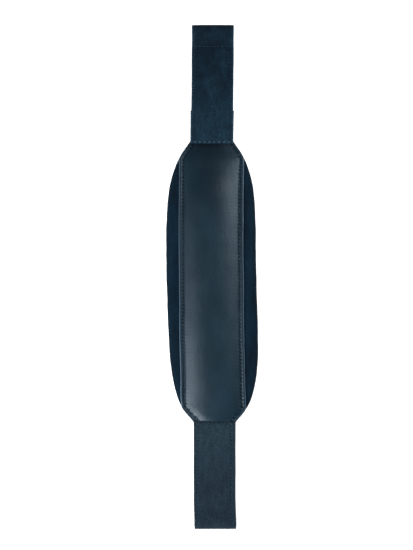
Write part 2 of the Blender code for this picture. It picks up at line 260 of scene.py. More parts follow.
def crown_rise(y):
    """The crown's height over the flange: it sinks slowly under the upper tab's hem, and stays up
    until just before the lower tab's."""
    upper = 0.9 * (1 - smooth((y - 66 * MM) / (46 * MM))) + 0.1 * (1 - smooth((y - 107 * MM) / (5 * MM)))
    lower = 1 - 0.42 * smooth((-y - 80 * MM) / (28 * MM))
    end = np.sqrt(1 - np.clip((-y - 109.5 * MM) / (1.25 * MM), 0, 1) ** 2)
    return (CROWN_TOP - PANEL_FOOT - LEATHER) * upper * lower * end


def to_stitch(along, pitch):
    """1 at a needle hole, 0 midway between two."""
    return 0.5 + 0.5 * np.cos(2 * math.pi * along / pitch)


# ---------------------------------------------------------------- materials


def srgb(code):
    """A hex colour as linear red, green, blue and alpha."""
    parts = [int(code[i : i + 2], 16) / 255 for i in (0, 2, 4)]
    return (*[c / 12.92 if c <= 0.04045 else ((c + 0.055) / 1.055) ** 2.4 for c in parts], 1)


def add(tree, kind, links=None, values=None, **settings):
    """A new node, with its settings, its sockets' values and the sockets that feed it."""
    made = tree.nodes.new(kind)
    for word, value in settings.items():
        setattr(made, word, value)
    for socket, value in (values or {}).items():
        made.inputs[socket].default_value = value
    for socket, source in (links or {}).items():
        tree.links.new(source, made.inputs[socket])
    return made


def new_material(name, values):
    """A material with a Principled shader whose constant sockets are set here."""
    made = bpy.data.materials.new(name)
    made.use_nodes = True
    shader = made.node_tree.nodes["Principled BSDF"]
    for socket, value in values.items():
        shader.inputs[socket].default_value = value
    return made, made.node_tree, shader


def ramp(tree, source, stops):
    """A colour ramp of (position, hex colour) stops."""
    made = add(tree, "ShaderNodeValToRGB", {"Fac": source})
    elements = made.color_ramp.elements
    elements[0].position, elements[-1].position = stops[0][0], stops[-1][0]
    elements[0].color, elements[-1].color = srgb(stops[0][1]), srgb(stops[-1][1])
    for position, code in stops[1:-1]:
        elements.new(position).color = srgb(code)
    return made.outputs["Color"]


def pattern(tree, kind, size, output, values=None, stretch=(1, 1, 1), **settings):
    """A texture in object space whose features are about size metres across."""
    place = add(tree, "ShaderNodeTexCoord")
    turned = add(tree, "ShaderNodeMapping", {"Vector": place.outputs["Object"]}, {"Scale": stretch})
    scale = {"Scale": 1 / size, **(values or {})}
    return add(tree, kind, {"Vector": turned.outputs[0]}, scale, **settings).outputs[output]


def waves(tree, size, direction, values=None):
    """Even bands about size metres apart. A wave texture of scale 1 has about six in a unit."""
    squeeze = (0.16, 0.16, 0.16)
    return pattern(tree, "ShaderNodeTexWave", size, "Fac", values, squeeze, bands_direction=direction)


def blended(tree, share, first, second, mode="MIX"):
    """Two colours mixed by a share, which is a number or a socket."""
    mix = add(tree, "ShaderNodeMix", data_type="RGBA", blend_type=mode)
    for socket, value in ((mix.inputs[0], share), (mix.inputs[6], first), (mix.inputs[7], second)):
        if isinstance(value, bpy.types.NodeSocket):
            tree.links.new(value, socket)
        else:
            socket.default_value = value
    return mix.outputs[2]


def bumped(tree, shader, layers):
    """Bumps one on another: (height socket, height in metres, strength) each."""
    normal = None
    for height, distance, strength in layers:
        links = {"Height": height}
        if normal is not None:
            links["Normal"] = normal
        bump = add(tree, "ShaderNodeBump", links, {"Distance": distance, "Strength": strength})
        normal = bump.outputs["Normal"]
    tree.links.new(normal, shader.inputs["Normal"])


def mark(tree, word):
    return add(tree, "ShaderNodeAttribute", attribute_name=word).outputs["Fac"]


def velour(name, dark, mid, light, sheen):
    """Knitted velour: short dense pile, cut level. Matt, with a soft sheen at grazing angles and
    slightly lighter patches where the pile has been brushed another way."""
    values = {"Roughness": 0.95, "Sheen Weight": sheen, "Sheen Roughness": 0.45, "Specular IOR Level": 0.08}
    made, tree, shader = new_material(name, values)
    shader.inputs["Sheen Tint"].default_value = srgb("5C7690")
    # Pile tufts are about 0.2 mm across, drawn at 0.7 mm so that they show
    tufts = pattern(tree, "ShaderNodeTexNoise", 0.7 * MM, "Fac", {"Detail": 3, "Roughness": 0.7})
    brushed = pattern(tree, "ShaderNodeTexNoise", 9 * MM, "Fac", {"Detail": 2}, (1, 0.35, 1))
    base = ramp(tree, brushed, [(0.3, dark), (0.5, mid), (0.72, light)])
    flecks = ramp(tree, tufts, [(0.32, "5A5A5A"), (0.68, "CECECE")])
    colour = blended(tree, 0.7, base, flecks, "OVERLAY")
    tree.links.new(colour, shader.inputs["Base Color"])
    bumped(tree, shader, [(brushed, 0.4 * MM, 0.3), (tufts, 0.25 * MM, 0.6)])
    return made


def smooth_leather():
    """Full-grain cowhide, drum dyed navy and given a thin satin finish: fine pebbled grain, soft
    broad highlights, colour a little uneven, paler where the cut edge shows (partly a painted
    highlight) and dark at each needle hole. Painted shade darkens the seam grooves, the creases at
    both ends and the middle towards the upper hem, where the gloss is turned down as well."""
    values = {"Specular Tint": srgb("E2F0FC"), "IOR": 1.46, "Coat Weight": 0.04, "Coat Roughness": 0.35}
    made, tree, shader = new_material("smooth navy cowhide", values)
    # The hide's pores are about 0.3 mm apart, drawn at 0.9 mm so that the grain shows
    grain = pattern(tree, "ShaderNodeTexVoronoi", 0.9 * MM, "Distance", {"Randomness": 1.0})
    fine = pattern(tree, "ShaderNodeTexNoise", 0.5 * MM, "Fac", {"Detail": 4})
    clouds = pattern(tree, "ShaderNodeTexNoise", 16 * MM, "Fac", {"Detail": 3}, (1, 0.5, 1))
    creases = pattern(tree, "ShaderNodeTexNoise", 3.2 * MM, "Fac", {"Detail": 2}, (1, 0.22, 1))
    base = ramp(tree, clouds, [(0.25, "0B1E29"), (0.5, "0E2430"), (0.78, "122A37")])
    grained = blended(tree, 0.25, base, ramp(tree, grain, [(0.0, "BBBBBB"), (0.8, "6E6E6E")]), "OVERLAY")
    # Pale cut edge: partly the raw edge's own colour, partly a painted highlight where the rounded edge
    # catches the light
    edged = blended(tree, mark(tree, "cut_edge_and_glint"), grained, srgb("4A6074"))
    # Near-black needle holes, and painted shade in the grooves, the end creases and towards the upper hem
    holed_and_shaded = blended(tree, mark(tree, "needle_holes_and_painted_shade"), edged, srgb("060F18"))
    tree.links.new(holed_and_shaded, shader.inputs["Base Color"])
    gloss = add(tree, "ShaderNodeMapRange", {"Value": clouds}, {"To Min": 0.34, "To Max": 0.42})
    tree.links.new(gloss.outputs[0], shader.inputs["Roughness"])
    # The gloss is turned down where the needle holes and the painted shade are
    shaded_places = {"Value": mark(tree, "needle_holes_and_painted_shade")}
    shine = add(tree, "ShaderNodeMapRange", shaded_places, {"To Min": 0.41, "To Max": 0.1})
    tree.links.new(shine.outputs[0], shader.inputs["Specular IOR Level"])
    bumped(tree, shader, [(creases, 0.25 * MM, 0.35), (grain, 0.12 * MM, 0.5), (fine, 0.05 * MM, 0.4)])
    return made


def napped_leather(name, dark, mid, light, edge, roughness, nap):
    """Leather with its flesh side out (suede) or its grain sanded (nubuck): a short velvety nap, no
    gloss, blotchy where the nap lies different ways, with a paler cut edge, a painted sheen near the
    hem and along the edges, and dark needle holes with painted shade along the seams and creases."""
    values = {"Roughness": roughness, "Sheen Weight": nap, "Sheen Roughness": 0.5, "Specular IOR Level": 0.12}
    made, tree, shader = new_material(name, values)
    shader.inputs["Sheen Tint"].default_value = srgb("6F8AA0")
    # The fibres are a few hundredths of a millimetre thick, drawn at 1.1 mm so that they show
    fibres = pattern(tree, "ShaderNodeTexNoise", 1.1 * MM, "Fac", {"Detail": 5, "Roughness": 0.75})
    strokes = pattern(tree, "ShaderNodeTexNoise", 3 * MM, "Fac", {"Detail": 3}, (1, 0.4, 1))
    blotches = pattern(tree, "ShaderNodeTexNoise", 13 * MM, "Fac", {"Detail": 2})
    base = ramp(tree, blotches, [(0.25, dark), (0.5, mid), (0.95, light)])
    # Painted sheen: the tab paler near its hem and along its edges
    painted_sheen = blended(tree, mark(tree, "painted_sheen"), base, srgb(light))
    napped = blended(tree, 0.5, painted_sheen, ramp(tree, strokes, [(0.32, "646464"), (0.68, "ACACAC")]), "OVERLAY")
    fuzzy = blended(tree, 0.75, napped, ramp(tree, fibres, [(0.34, "585858"), (0.66, "C4C4C4")]), "OVERLAY")
    edged = blended(tree, mark(tree, "cut_edge_and_glint"), fuzzy, srgb(edge))
    # Dark needle holes, with painted shade in the seams' dents and in the crease
    holed_and_shaded = blended(tree, mark(tree, "needle_holes_and_painted_shade"), edged, srgb("050F18"))
    tree.links.new(holed_and_shaded, shader.inputs["Base Color"])
    bumped(tree, shader, [(strokes, 0.2 * MM, 0.35), (fibres, 0.12 * MM, 0.7)])
    return made


def sewing_thread(name, dark, light):
    """Bonded polyester thread: twisted plies with a slight waxy shine. The twist repeats every half
    millimetre along the thread."""
    made, tree, shader = new_material(name, {"Roughness": 0.6, "Specular IOR Level": 0.15})
    plies = waves(tree, 0.5 * MM, "DIAGONAL", {"Distortion": 0.6})
    tree.links.new(ramp(tree, plies, [(0.1, dark), (0.8, light)]), shader.inputs["Base Color"])
    bumped(tree, shader, [(plies, 0.06 * MM, 0.5)])
    return made


def nylon_webbing():
    """Woven nylon tape: a plain weave of flat glossy bundles 0.9 mm apart, charcoal."""
    made, tree, shader = new_material("woven nylon tape", {"Roughness": 0.6, "Specular IOR Level": 0.3})
    warp = waves(tree, 0.9 * MM, "X")
    weft = waves(tree, 0.9 * MM, "Y")
    both = add(tree, "ShaderNodeMath", {0: warp, 1: weft}, operation="MULTIPLY").outputs[0]
    tree.links.new(ramp(tree, both, [(0.05, "14171B"), (0.6, "33383F")]), shader.inputs["Base Color"])
    bumped(tree, shader, [(both, 0.15 * MM, 0.6)])
    return made


def foam_rubber():
    """Open-cell polyurethane foam: matt, with cells half a millimetre across."""
    made, tree, shader = new_material("open-cell foam", {"Roughness": 0.95, "Specular IOR Level": 0.1})
    cells = pattern(tree, "ShaderNodeTexVoronoi", 0.5 * MM, "Distance")
    tree.links.new(ramp(tree, cells, [(0.1, "26292D"), (0.6, "4A4E54")]), shader.inputs["Base Color"])
    bumped(tree, shader, [(cells, 0.2 * MM, 0.8)])
    return made


COVER_VELOUR = velour("blue-black velour", "081824", "0A1E2C", "0F2433", 0.05)
LINING_VELOUR = velour("charcoal velour", "191E24", "20262D", "2A3038", 0.2)
PANEL_LEATHER = smooth_leather()
SUEDE = napped_leather("blue-black suede", "0C202F", "0E2535", "1F3B4C", "33495A", 0.95, 0.05)
NUBUCK = napped_leather("navy nubuck", "1A2D3C", "1D313F", "233946", "36434A", 0.75, 0.06)
NAVY_THREAD = sewing_thread("navy polyester thread", "142C3E", "284458")
DARK_THREAD = sewing_thread("blue-black polyester thread", "0E2232", "1C3648")
PALE_THREAD = sewing_thread("pale blue polyester thread", "3E5264", "586D80")
WEBBING = nylon_webbing()
FOAM = foam_rubber()

# ---------------------------------------------------------------- the padding


PRESSURE = 4.0
LAST_FRAME = 20


def inflated(piece, voxel, cap):
    """The piece swollen by a cloth simulation, with no point moved further than the cap."""
    remesh = piece.modifiers.new("Even faces", "REMESH")
    remesh.mode = "VOXEL"
    remesh.voxel_size = voxel
    plain_mesh(piece)
    before = np.array([v.co for v in piece.data.vertices])
    cloth = piece.modifiers.new("Swelling", "CLOTH")
    cloth.settings.use_pressure = True
    cloth.settings.uniform_pressure_force = PRESSURE
    cloth.settings.effector_weights.gravity = 0
    cloth.settings.quality = 4
    for number in range(1, LAST_FRAME + 1):
        bpy.context.scene.frame_set(number)
    plain_mesh(piece)
    bpy.context.scene.frame_set(1)
    after = np.array([v.co for v in piece.data.vertices])
    moved = after - before
    far = np.linalg.norm(moved, axis=1, keepdims=True)
    after = before + moved * np.minimum(1, cap / np.maximum(far, 1e-9))
    piece.data.vertices.foreach_set("co", after.reshape(-1))
    finer = piece.modifiers.new("Finer", "SUBSURF")
    finer.levels = finer.render_levels = 1
    return plain_mesh(piece)


def held_between(piece, floor, ceiling):
    """Presses the piece's points back between two heights, each a function of x and y arrays."""
    points = np.array([v.co for v in piece.data.vertices])
    x, y = points[:, 0] - lean(points[:, 1]), points[:, 1]
    points[:, 2] = np.clip(points[:, 2], floor(x, y), ceiling(x, y))
    piece.data.vertices.foreach_set("co", points.reshape(-1))
    piece.data.update()


def pad_cushion():
    """The flat foam, rounded at its rim and let down along its middle for the tape."""
    end = 105.2 * MM  # short of where the covers are pinched shut
    y = end * np.sin(np.linspace(-math.pi / 2, math.pi / 2, 90))
    across = np.sin(np.linspace(-math.pi / 2, math.pi / 2, 30))[None, :]
    half = (pad_half(y) - 1.9 * MM)[:, None]
    low, high = COVER_FOOT + 0.2 * MM, COVER_TOP - VELOUR - 0.5 * MM
    middle, tall = (low + high) / 2, (high - low) / 2
    rim = np.sqrt(1 - np.abs(across) ** 8 * 0.9) * np.ones_like(half)  # full height until near the rim
    taper = 1 - 0.35 * pinch(y)[:, None]
    z = tall * rim * taper
    x = half * across
    made = plate("pad_cushion", grid(y, x, middle + z), grid(y, x, middle - z), FOAM)
    inflated(made, 2.2 * MM, 0.5 * MM)
    floor = LINING_TOP + CLEAR

    def ceiling(x, y):
        channel = TAPE_TOP - TAPE - CLEAR
        top = cover_top(y) - VELOUR - CLEAR
        return np.where(np.abs(x) < TAPE_HALF + 0.6 * MM, channel, top)

    held_between(made, lambda x, y: floor + 2.6 * MM * pinch(y), ceiling)
    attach(made, "pad")
    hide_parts("pad_foam")
    return made


def crown_profile(share):
    """The crown's height across the strap, from 1 in the middle to 0 at its edges."""
    return 1 - np.clip(np.abs(share), 0, 1) ** CROWN_POWER


def crown_stuffing():
    """The loose stuffing that holds the leather up in its crown."""
    y = np.linspace(-108.2 * MM, 106 * MM, 110)
    across = np.linspace(-1, 1, 34)[None, :]
    half = (panel_half(y) - CROWN_IN * inset_scale(y) - 1.2 * MM)[:, None]
    base = (panel_foot(y) + CLEAR)[:, None]
    rise = np.maximum(crown_rise(y)[:, None] * crown_profile(across * 0.95) - 0.9 * MM, 0.5 * MM)
    x = half * across + panel_shift(y)[:, None]
    made = plate("crown_stuffing", grid(y, x, base + rise), grid(y, x, base + 0 * rise), FOAM)
    inflated(made, 1.6 * MM, 0.5 * MM)

    def leather_over(x, y):
        half_there = panel_half(y) - CROWN_IN * inset_scale(y)
        share = (x - panel_shift(y)) / half_there
        return panel_foot(y) + np.maximum(crown_rise(y) * crown_profile(share) - 0.2 * MM, 0.16 * MM)

    held_between(made, lambda x, y: panel_foot(y) + 0.1 * MM, leather_over)
    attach(made, "pad")
    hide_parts("crown_foam")
    return made


# ---------------------------------------------------------------- the covers


def rim_curve(steps):
    """The pad's rim in section from its foot to its flat top, as (across, up) from 0 to 1."""
    turn = np.radians(np.linspace(-48, 90, steps))
    lower = np.sin(turn) / math.sin(math.radians(48))
    up = np.where(turn < 0, 0.3 + 0.3 * lower, 0.3 + 0.7 * np.abs(np.sin(turn)) ** 0.85)
    return 1 - np.abs(np.cos(turn)) ** 0.9, np.clip(up, 0, 1)


def pad_cover():
    """The velour cover: over the foam's top and round its rim to the lining."""
    y = PINCHED_END * np.sin(np.linspace(-math.pi / 2, math.pi / 2, 180))
    inward, up = rim_curve(16)
    flat = np.linspace(-1, 1, 20)[1:-1]
    rim_width = 6.5 * MM
    half = (pad_half(y) + 0.15 * MM * waver(y, 33 * MM, 0.4))[:, None]
    foot = (COVER_FOOT + 2.2 * MM * pinch(y))[:, None]
    top = (cover_top(y))[:, None]
    rim_x = half - inward[None, :] * rim_width
    rim_z = foot + (top - foot) * up[None, :]
    # The pile is drawn down in small puckers where the leather's seam pulls at it
    pucker = 0.18 * MM * waver(y, 11 * MM, 2.0)[:, None] * smooth((inward - 0.3) / 0.7)[None, :]
    rim_z = rim_z + pucker * smooth((90 * MM - np.abs(y)) / (10 * MM))[:, None]
    flat_x = (half - rim_width) * flat[None, :]
    flat_z = top + 0 * flat_x
    x = np.concatenate([-rim_x, flat_x, rim_x[:, ::-1]], 1)
    z = np.concatenate([rim_z, flat_z, rim_z[:, ::-1]], 1)
    outer = grid(y, x, z)
    run = np.gradient(x, axis=1)
    rise = np.gradient(z, axis=1)
    length = np.sqrt(run**2 + rise**2)
    inner = outer.copy()
    inner[..., 0] += rise / length * VELOUR
    inner[..., 2] -= run / length * VELOUR
    made = plate("pad_cover", outer, inner, COVER_VELOUR)
    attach(made, "pad")
    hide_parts("pad_face")
    return made


def pad_lining():
    """The velour that lies against the neck, its edge turned up to meet the cover."""
    y = PINCHED_END * np.sin(np.linspace(-math.pi / 2, math.pi / 2, 150))
    across = np.sin(np.linspace(-math.pi / 2, math.pi / 2, 44))[None, :]
    half = (pad_half(y) - 0.35 * MM)[:, None]
    raised = (2.3 * MM * pinch(y))[:, None]
    curl = 0.75 * MM * smooth((np.abs(across) - 0.86) / 0.14)
    quilt = 0.12 * MM * (waver(y, 23 * MM, 5.0)[:, None] * np.cos(across * 7) + 1)
    quilt = quilt * smooth((1 - np.abs(across)) / 0.2)
    bottom = raised + curl + quilt
    top = raised + LINING_TOP - 0.1 * MM - 0.25 * MM * (np.abs(across) > 0.97) + 0 * bottom
    x = half * across
    made = plate("pad_lining_velour", grid(y, x, top), grid(y, x, bottom), LINING_VELOUR)
    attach(made, "pad")
    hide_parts("pad_lining")
    return made


# ---------------------------------------------------------------- the leather panel

# How far in from the cut edge the panel's columns lie, close together where the leather bends
EDGE_COLUMNS = [0, 0.15, 0.4, 0.8, 1.3, 1.8, 2.2, 2.5, 2.75, 3.0, 3.25, 3.5, 3.9, 4.5, 5.3, 6.3, 7.5]
EDGE_COLUMNS = np.array(EDGE_COLUMNS) * MM
GROOVE = 0.75 * MM  # half the width of the groove that the panel's seam pulls into it
CUT_ROUND = 0.25 * MM  # how far in the panel's cut edge is rounded


def panel_top(y, x, inset):
    """The panel's upper surface at arrays of y, x and the distance in from the cut edge."""
    half = panel_half(y) - CROWN_IN * inset_scale(y)
    rise = crown_rise(y) * crown_profile(x / half) * (inset > CROWN_IN)
    on_crown = smooth((inset - CROWN_IN) / (6 * MM))
    lumps = 0.16 * MM * waver(y, 61 * MM, 0.9) * np.cos(x / (9 * MM) + 0.6) * on_crown
    sunk = smooth((y - 100 * MM) / (8 * MM))
    valley = bell(inset - SEAM_IN, GROOVE) * (0.46 + 0.24 * to_stitch(y, PITCH)) * MM
    rolled = 0.35 * MM * np.exp(-inset / CUT_ROUND)
    pulled = 0.12 * MM * to_stitch(y, PITCH) * np.exp(-np.abs(inset - CROWN_IN) / (2.2 * MM))
    sewn = lumps * (1 - sunk) - (valley + pulled) * (1 - 0.7 * sunk)
    return panel_foot(y) + panel_thickness(y) + rise + sewn - rolled


def panel_marks(y, share, depth):
    """Pale at the cut edge: the raw edge's own colour and a painted highlight where its rounding catches
    the light. Dark at the needle holes, with painted shade in the seam's groove, in the creases at both
    ends and below the upper hem, and along the middle towards the upper hem."""
    holes = to_stitch(y, PITCH) ** 4 * bell(depth - SEAM_IN, GROOVE)
    # painted shade in the groove that the seam pulls into the leather
    groove = 0.52 * bell(depth - SEAM_IN, 0.8 * MM)
    tucked = smooth((y - 107 * MM) / (5 * MM))
    # painted shade: the middle of the panel's upper part darker towards the upper hem, less so at its sides
    inner = 1 - 0.8 * smooth((np.abs(share + 0.15) - 0.3) / 0.45)
    painted_shade_middle = 0.4 * inner * smooth((y - 25 * MM) / (55 * MM))
    # painted shadow under the upper tab's hem, and painted shade where the panel sinks in under it
    upper = 0.35 * smooth((y - 97 * MM) / (15 * MM)) + 0.3 * tucked
    # painted shade in the crease at the panel's lower end
    lower = 0.7 * smooth((-y - 109.3 * MM) / (1.2 * MM))
    return {
        # pale cut edge: the raw edge's colour plus a painted highlight, none where it is tucked under the hem
        "cut_edge_and_glint": bell(depth, 0.42 * MM) * (1 - tucked),
        "needle_holes_and_painted_shade": np.clip(holes + groove + painted_shade_middle + upper + lower, 0, 0.96),
    }


def panel_half_piece(name, side):
    """Half of the panel, from the strap's middle to its end at the upper (1) or lower (-1) tab."""
    end, rows_at_end = (TONGUE_END, 90) if side > 0 else (PANEL_LOWER_END, 60)
    long_part = np.linspace(0, 92 * MM, 150)[:-1]
    y = side * np.concatenate([long_part, np.linspace(92 * MM, end, rows_at_end)])
    y = y[::side]
    half = panel_half(y)[:, None]
    inset = EDGE_COLUMNS[None, :] * inset_scale(y)[:, None]
    inner_half = half - inset[:, -1:]
    middle = np.linspace(-1, 1, 30)[None, 1:-1] * inner_half
    x = np.concatenate([-(half - inset), middle, (half - inset)[:, ::-1]], 1)
    far_in = (half - np.abs(middle)) / inset_scale(y)[:, None]
    depth = np.broadcast_to(EDGE_COLUMNS[None, :], inset.shape)
    depth = np.concatenate([depth, far_in, depth[:, ::-1]], 1)
    rows = np.broadcast_to(y[:, None], x.shape)
    top = panel_top(rows, x, depth)
    bottom = top - panel_thickness(y)[:, None] + 0.45 * MM * np.exp(-depth / CUT_ROUND)
    marks = panel_marks(rows, x / half, depth)
    x = x + panel_shift(y)[:, None]
    made = plate(name, grid(y, x, top), grid(y, x, bottom), PANEL_LEATHER, marks)
    turn_at(made)
    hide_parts("leather_panel")
    return made


def turn_at(piece):
    """Bakes the piece's placing into its mesh; it is not bent between the pad and the tab."""
    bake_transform(piece)


# ---------------------------------------------------------------- the tabs and the tape


def drop(s):
    """How far a tab has come down towards the table at a distance s past its hinge line."""
    return TAB_DROP * smooth(s / TAB_DROP_LENGTH)


def upper_ply_height(s, side):
    """The middle of the leather in the ply that shows. At the upper end it rides on the tongue."""
    root = HINGE_Z + (LEATHER + TAPE) / 2 + PLY_GAP
    lifted = 0.5 * MM * (1 - smooth((s - 20 * MM) / (12 * MM))) if side > 0 else 0
    height = root + lifted - drop(s)
    opened = smooth((s - (TAB_ENDS[side] - HINGE_Y - EYE)) / EYE_OPENING)
    return height + (LOW_PLY + 2 * FOLD - height) * opened


def lower_ply_height(s):
    return HINGE_Z - (LEATHER + TAPE) / 2 - PLY_GAP - drop(s)


STEP = 0.8 * MM  # along a tab, from one row of its mesh to the next


def tab_path(side, tuck):
    """The folded strip's middle line: out along the upper ply, round the fold and back below."""
    length = TAB_ENDS[side] - HINGE_Y
    fold_at = length - LEATHER / 2 - FOLD
    s_out = np.concatenate([[-tuck], np.arange(max(0.0, STEP / 2 - tuck), fold_at, STEP), [fold_at]])
    z_out = upper_ply_height(s_out, side)
    turn = np.linspace(math.pi / 2, -math.pi / 2, 22)[1:-1]
    s_fold, z_fold = fold_at + FOLD * np.cos(turn), LOW_PLY + FOLD + FOLD * np.sin(turn)
    s_back = np.concatenate([[fold_at], np.arange(fold_at - STEP, -3.6 * MM, -STEP), [-4.4 * MM]])
    z_back = lower_ply_height(s_back)
    return np.concatenate([s_out, s_fold, s_back]), np.concatenate([z_out, z_fold, z_back])


# How far in from its cut edge a tab's columns lie
TAB_COLUMNS = np.array([0, 0.12, 0.35, 0.8, 1.3, 1.7, 2.0, 2.3, 2.6, 3.0, 3.4, 3.8, 4.3, 5.0]) * MM
DENT = 0.7 * MM  # half the width of the dent along a tab's seam


def tab_columns():
    """Across a tab: x, and how far in from the cut edge that is."""
    middle = np.linspace(-1, 1, 18)[1:-1] * (TAB_HALF - TAB_COLUMNS[-1])
    inset = np.concatenate([TAB_COLUMNS, TAB_HALF - np.abs(middle), TAB_COLUMNS[::-1]])[None, :]
    x = np.concatenate([TAB_COLUMNS - TAB_HALF, middle, (TAB_HALF - TAB_COLUMNS)[::-1]])[None, :]
    return x, inset


def tab_sewing(side, s, x, inset, on_top, seam_in):
    """What the seams do to a tab: the dark needle holes, with painted shade in the dent along each side
    seam, and how deep the leather is drawn in.
    """
    seam = bell(inset - seam_in, DENT)
    from_hem = s - HEM_SEAM[side]
    stop = SIDE_STOP[side]
    seamed = seam * smooth(from_hem / MM) * (s < stop) * np.where(on_top, 1, side > 0)
    hem = bell(from_hem, DENT)
    between = np.abs(x) < TAB_HALF - seam_in
    holes = seamed * to_stitch(s, PITCH) ** 6
    holes = holes + hem * to_stitch(x, HEM_PITCH) ** 6 * between * on_top
    dents = (0.22 * seamed + 0.2 * hem) * MM
    if side > 0:
        cross = bell(s - stop, DENT)
        holes = holes + cross * to_stitch(x, PITCH) ** 6 * between
        dents = dents + 0.3 * cross * MM
    # needle holes, plus painted shade in the dent along the side seams
    return 0.6 * holes + 0.2 * seamed, dents


def tab_marks(side, s, inset, holes):
    """Paler along the cut edges, with a painted sheen near the hem and along the edges. Dark at the
    needle holes, with painted shade in the creased line beside the lower tab's edges."""
    # painted shade in the crease beside the lower tab's edges
    creased = bell(inset - 1.5 * MM, 0.4 * MM) * (0.45 if side < 0 else 0.0)
    # painted sheen: lighter towards the hem, where the tab rises to the pad, and along both edges
    painted_sheen_share = 1 - smooth(s / (55 * MM)) + 0.8 * bell(inset, 2.2 * MM)
    everywhere = np.ones_like(s * inset)
    return {
        "cut_edge_and_glint": bell(inset, 0.45 * MM) * everywhere * 0.9,
        "needle_holes_and_painted_shade": np.clip(holes + creased, 0, 1) * everywhere,
        "painted_sheen": np.clip(painted_sheen_share, 0, 1) * 0.9 * everywhere,
    }


def tab_strap(name, side, tab, node, look, slot, seam_in, tuck):
    """A tab: one leather strip, folded back on itself round an open eye."""
    s, z = tab_path(side, tuck)
    ds, dz = np.gradient(s), np.gradient(z)
    run = np.hypot(ds, dz)
    on_top = (np.arange(len(s)) <= int(np.argmax(s)))[:, None]
    out_s, out_z = (-dz / run)[:, None], (ds / run)[:, None]
    s, z = s[:, None], z[:, None]
    x, inset = tab_columns()
    holes, dents = tab_sewing(side, s, x, inset, on_top, seam_in)
    past_hem = s - HEM_SEAM[side]
    ribs = 0.13 * MM * np.cos(2 * math.pi * x / HEM_PITCH) * np.exp(-np.maximum(past_hem, 0) / (6 * MM))
    swells = 0.22 * MM * waver(s, 37 * MM, 4.2) * np.cos(x / (7 * MM)) * smooth(past_hem / (14 * MM))
    relief = (ribs + swells) * on_top - dents
    thick = LEATHER / 2 * np.sqrt(1 - 0.75 * np.exp(-inset / (0.2 * MM)))
    width = x * (1 + 0.006 * waver(s, 41 * MM, 3.0 + side))
    top, bottom = (
        np.stack([width, side * (HINGE_Y + s + out_s * away), z + out_z * away], -1)
        for away in (relief + thick, relief * 0.4 - thick)
    )
    made = plate(name, top, bottom, look, tab_marks(side, s, inset, holes))
    turn_at(made)
    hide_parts(node)
    return made


def load_tape(name, side):
    """Half of the tape: through the pad's channel and in between the tab's plies."""
    y = side * np.linspace(0, TAPE_ENDS[side], 180)[::side]
    x = np.linspace(-TAPE_HALF, TAPE_HALF, 20)[None, :]
    z = (TAPE_TOP - drop(np.abs(y) - HINGE_Y))[:, None] + 0 * x
    edge = 0.3 * MM * (np.abs(x) > TAPE_HALF - 0.01 * MM)
    wide = x + 0 * z
    made = plate(name, grid(y, wide, z - edge), grid(y, wide, z - TAPE + edge), WEBBING)
    turn_at(made)
    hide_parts("load_tape")
    return made


# ---------------------------------------------------------------- the stitches


def stitch_tree():
    """Stitches along a path: each is a short plump length of thread, laid a little askew."""
    tree = bpy.data.node_groups.new("stitches along a path", "GeometryNodeTree")
    face = tree.interface
    face.new_socket("Geometry", in_out="INPUT", socket_type="NodeSocketGeometry")
    for word, kind in (
        ("Pitch", "Float"),
        ("Stitch length", "Float"),
        ("Thread thickness", "Float"),
        ("Slant", "Float"),
        ("Seed", "Int"),
        ("Thread", "Material"),
    ):
        face.new_socket(word, in_out="INPUT", socket_type="NodeSocket" + kind)
    face.new_socket("Geometry", in_out="OUTPUT", socket_type="NodeSocketGeometry")
    given = add(tree, "NodeGroupInput").outputs
    curve = add(tree, "GeometryNodeMeshToCurve", {"Mesh": given["Geometry"]})
    links = {"Curve": curve.outputs[0], "Length": given["Pitch"]}
    spaced = add(tree, "GeometryNodeResampleCurve", links, mode="LENGTH")
    ball = add(tree, "GeometryNodeMeshUVSphere", None, {"Segments": 7, "Rings": 6, "Radius": 0.5})
    links = {"X": given["Stitch length"], "Y": given["Thread thickness"], "Z": given["Thread thickness"]}
    size = add(tree, "ShaderNodeCombineXYZ", links)
    stitch = add(tree, "GeometryNodeTransform", {"Geometry": ball.outputs[0], "Scale": size.outputs[0]})
    tangent = add(tree, "GeometryNodeInputTangent")
    lined_up = add(tree, "FunctionNodeAlignRotationToVector", {"Vector": tangent.outputs[0]}, axis="X")
    half = add(tree, "ShaderNodeMath", {0: given["Slant"]}, {1: 0.5}, operation="MULTIPLY")
    # Sockets 2 and 3 are the least and the most that a random number of this kind can be
    links = {2: half.outputs[0], 3: given["Slant"], "Seed": given["Seed"]}
    askew = add(tree, "FunctionNodeRandomValue", links, data_type="FLOAT")
    turn = add(tree, "ShaderNodeCombineXYZ", {"Z": askew.outputs[1]})
    spin = add(tree, "FunctionNodeEulerToRotation", {0: turn.outputs[0]})
    links = {0: lined_up.outputs[0], 1: spin.outputs[0]}
    turned = add(tree, "FunctionNodeRotateRotation", links, rotation_space="LOCAL")
    links = {"Points": spaced.outputs[0], "Instance": stitch.outputs[0], "Rotation": turned.outputs[0]}
    sewn = add(tree, "GeometryNodeInstanceOnPoints", links)
    real = add(tree, "GeometryNodeRealizeInstances", {"Geometry": sewn.outputs[0]})
    links = {"Geometry": real.outputs[0], "Material": given["Thread"]}
    looks = add(tree, "GeometryNodeSetMaterial", links)
    add(tree, "NodeGroupOutput", {"Geometry": looks.outputs[0]})
    return tree


STITCHES = stitch_tree()


